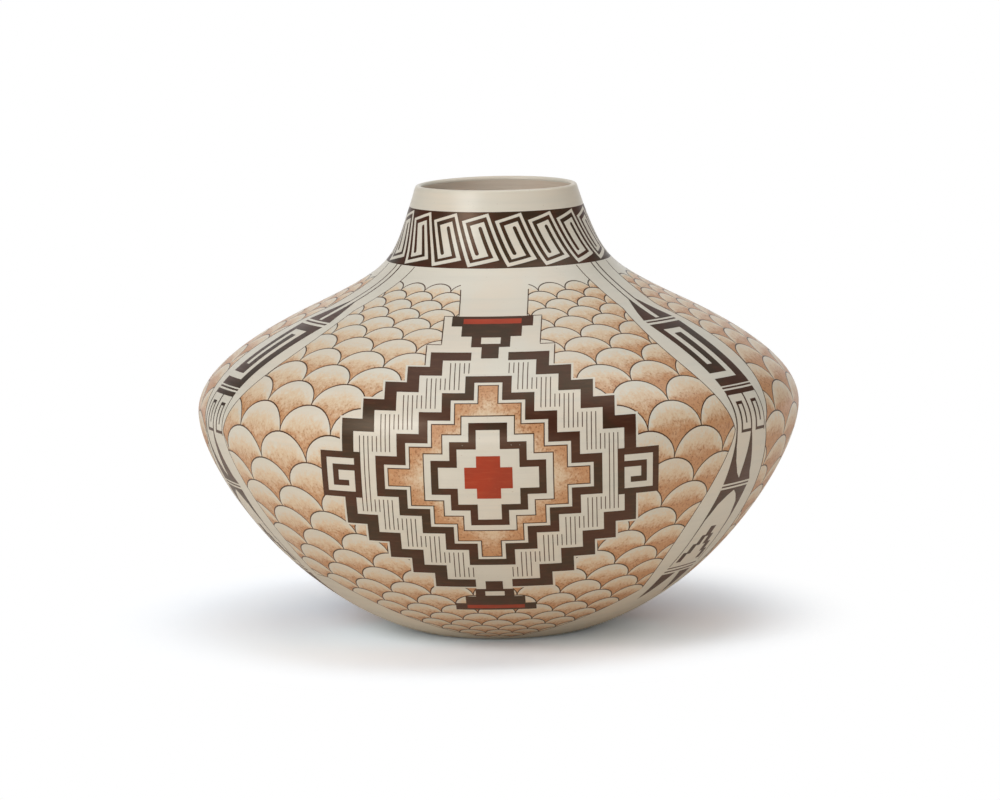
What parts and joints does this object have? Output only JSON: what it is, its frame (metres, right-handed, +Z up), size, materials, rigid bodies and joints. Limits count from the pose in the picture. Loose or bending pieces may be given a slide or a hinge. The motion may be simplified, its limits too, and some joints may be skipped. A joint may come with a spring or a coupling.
{
  "type": "painted ceramic jar",
  "caption": "Wide-shouldered round storage jar of burnished painted clay, with a flat resting face, a low drawn-in neck that carries a dark key-pattern band, and a plain rounded lip.",
  "frame": {"origin": "middle of the flat resting face", "axes": "+Z up along the axis of the jar, through the mouth; -Y towards the viewer of the picture"},
  "size_m": [0.292, 0.292, 0.216],
  "materials": {
    "cream_slip": "burnished satin, unglazed",
    "washed_slip": "burnished satin slip with a stippled orange-brown wash",
    "dark_paint": "burnished satin mineral paint"
  },
  "bodies": {
    "root": {"base": "cream_slip", "lower_wall": "washed_slip", "lower_belly": "washed_slip", "upper_belly": "washed_slip", "shoulder": "washed_slip", "neck": "dark_paint", "rim": "cream_slip"}
  },
  "joints": []
}
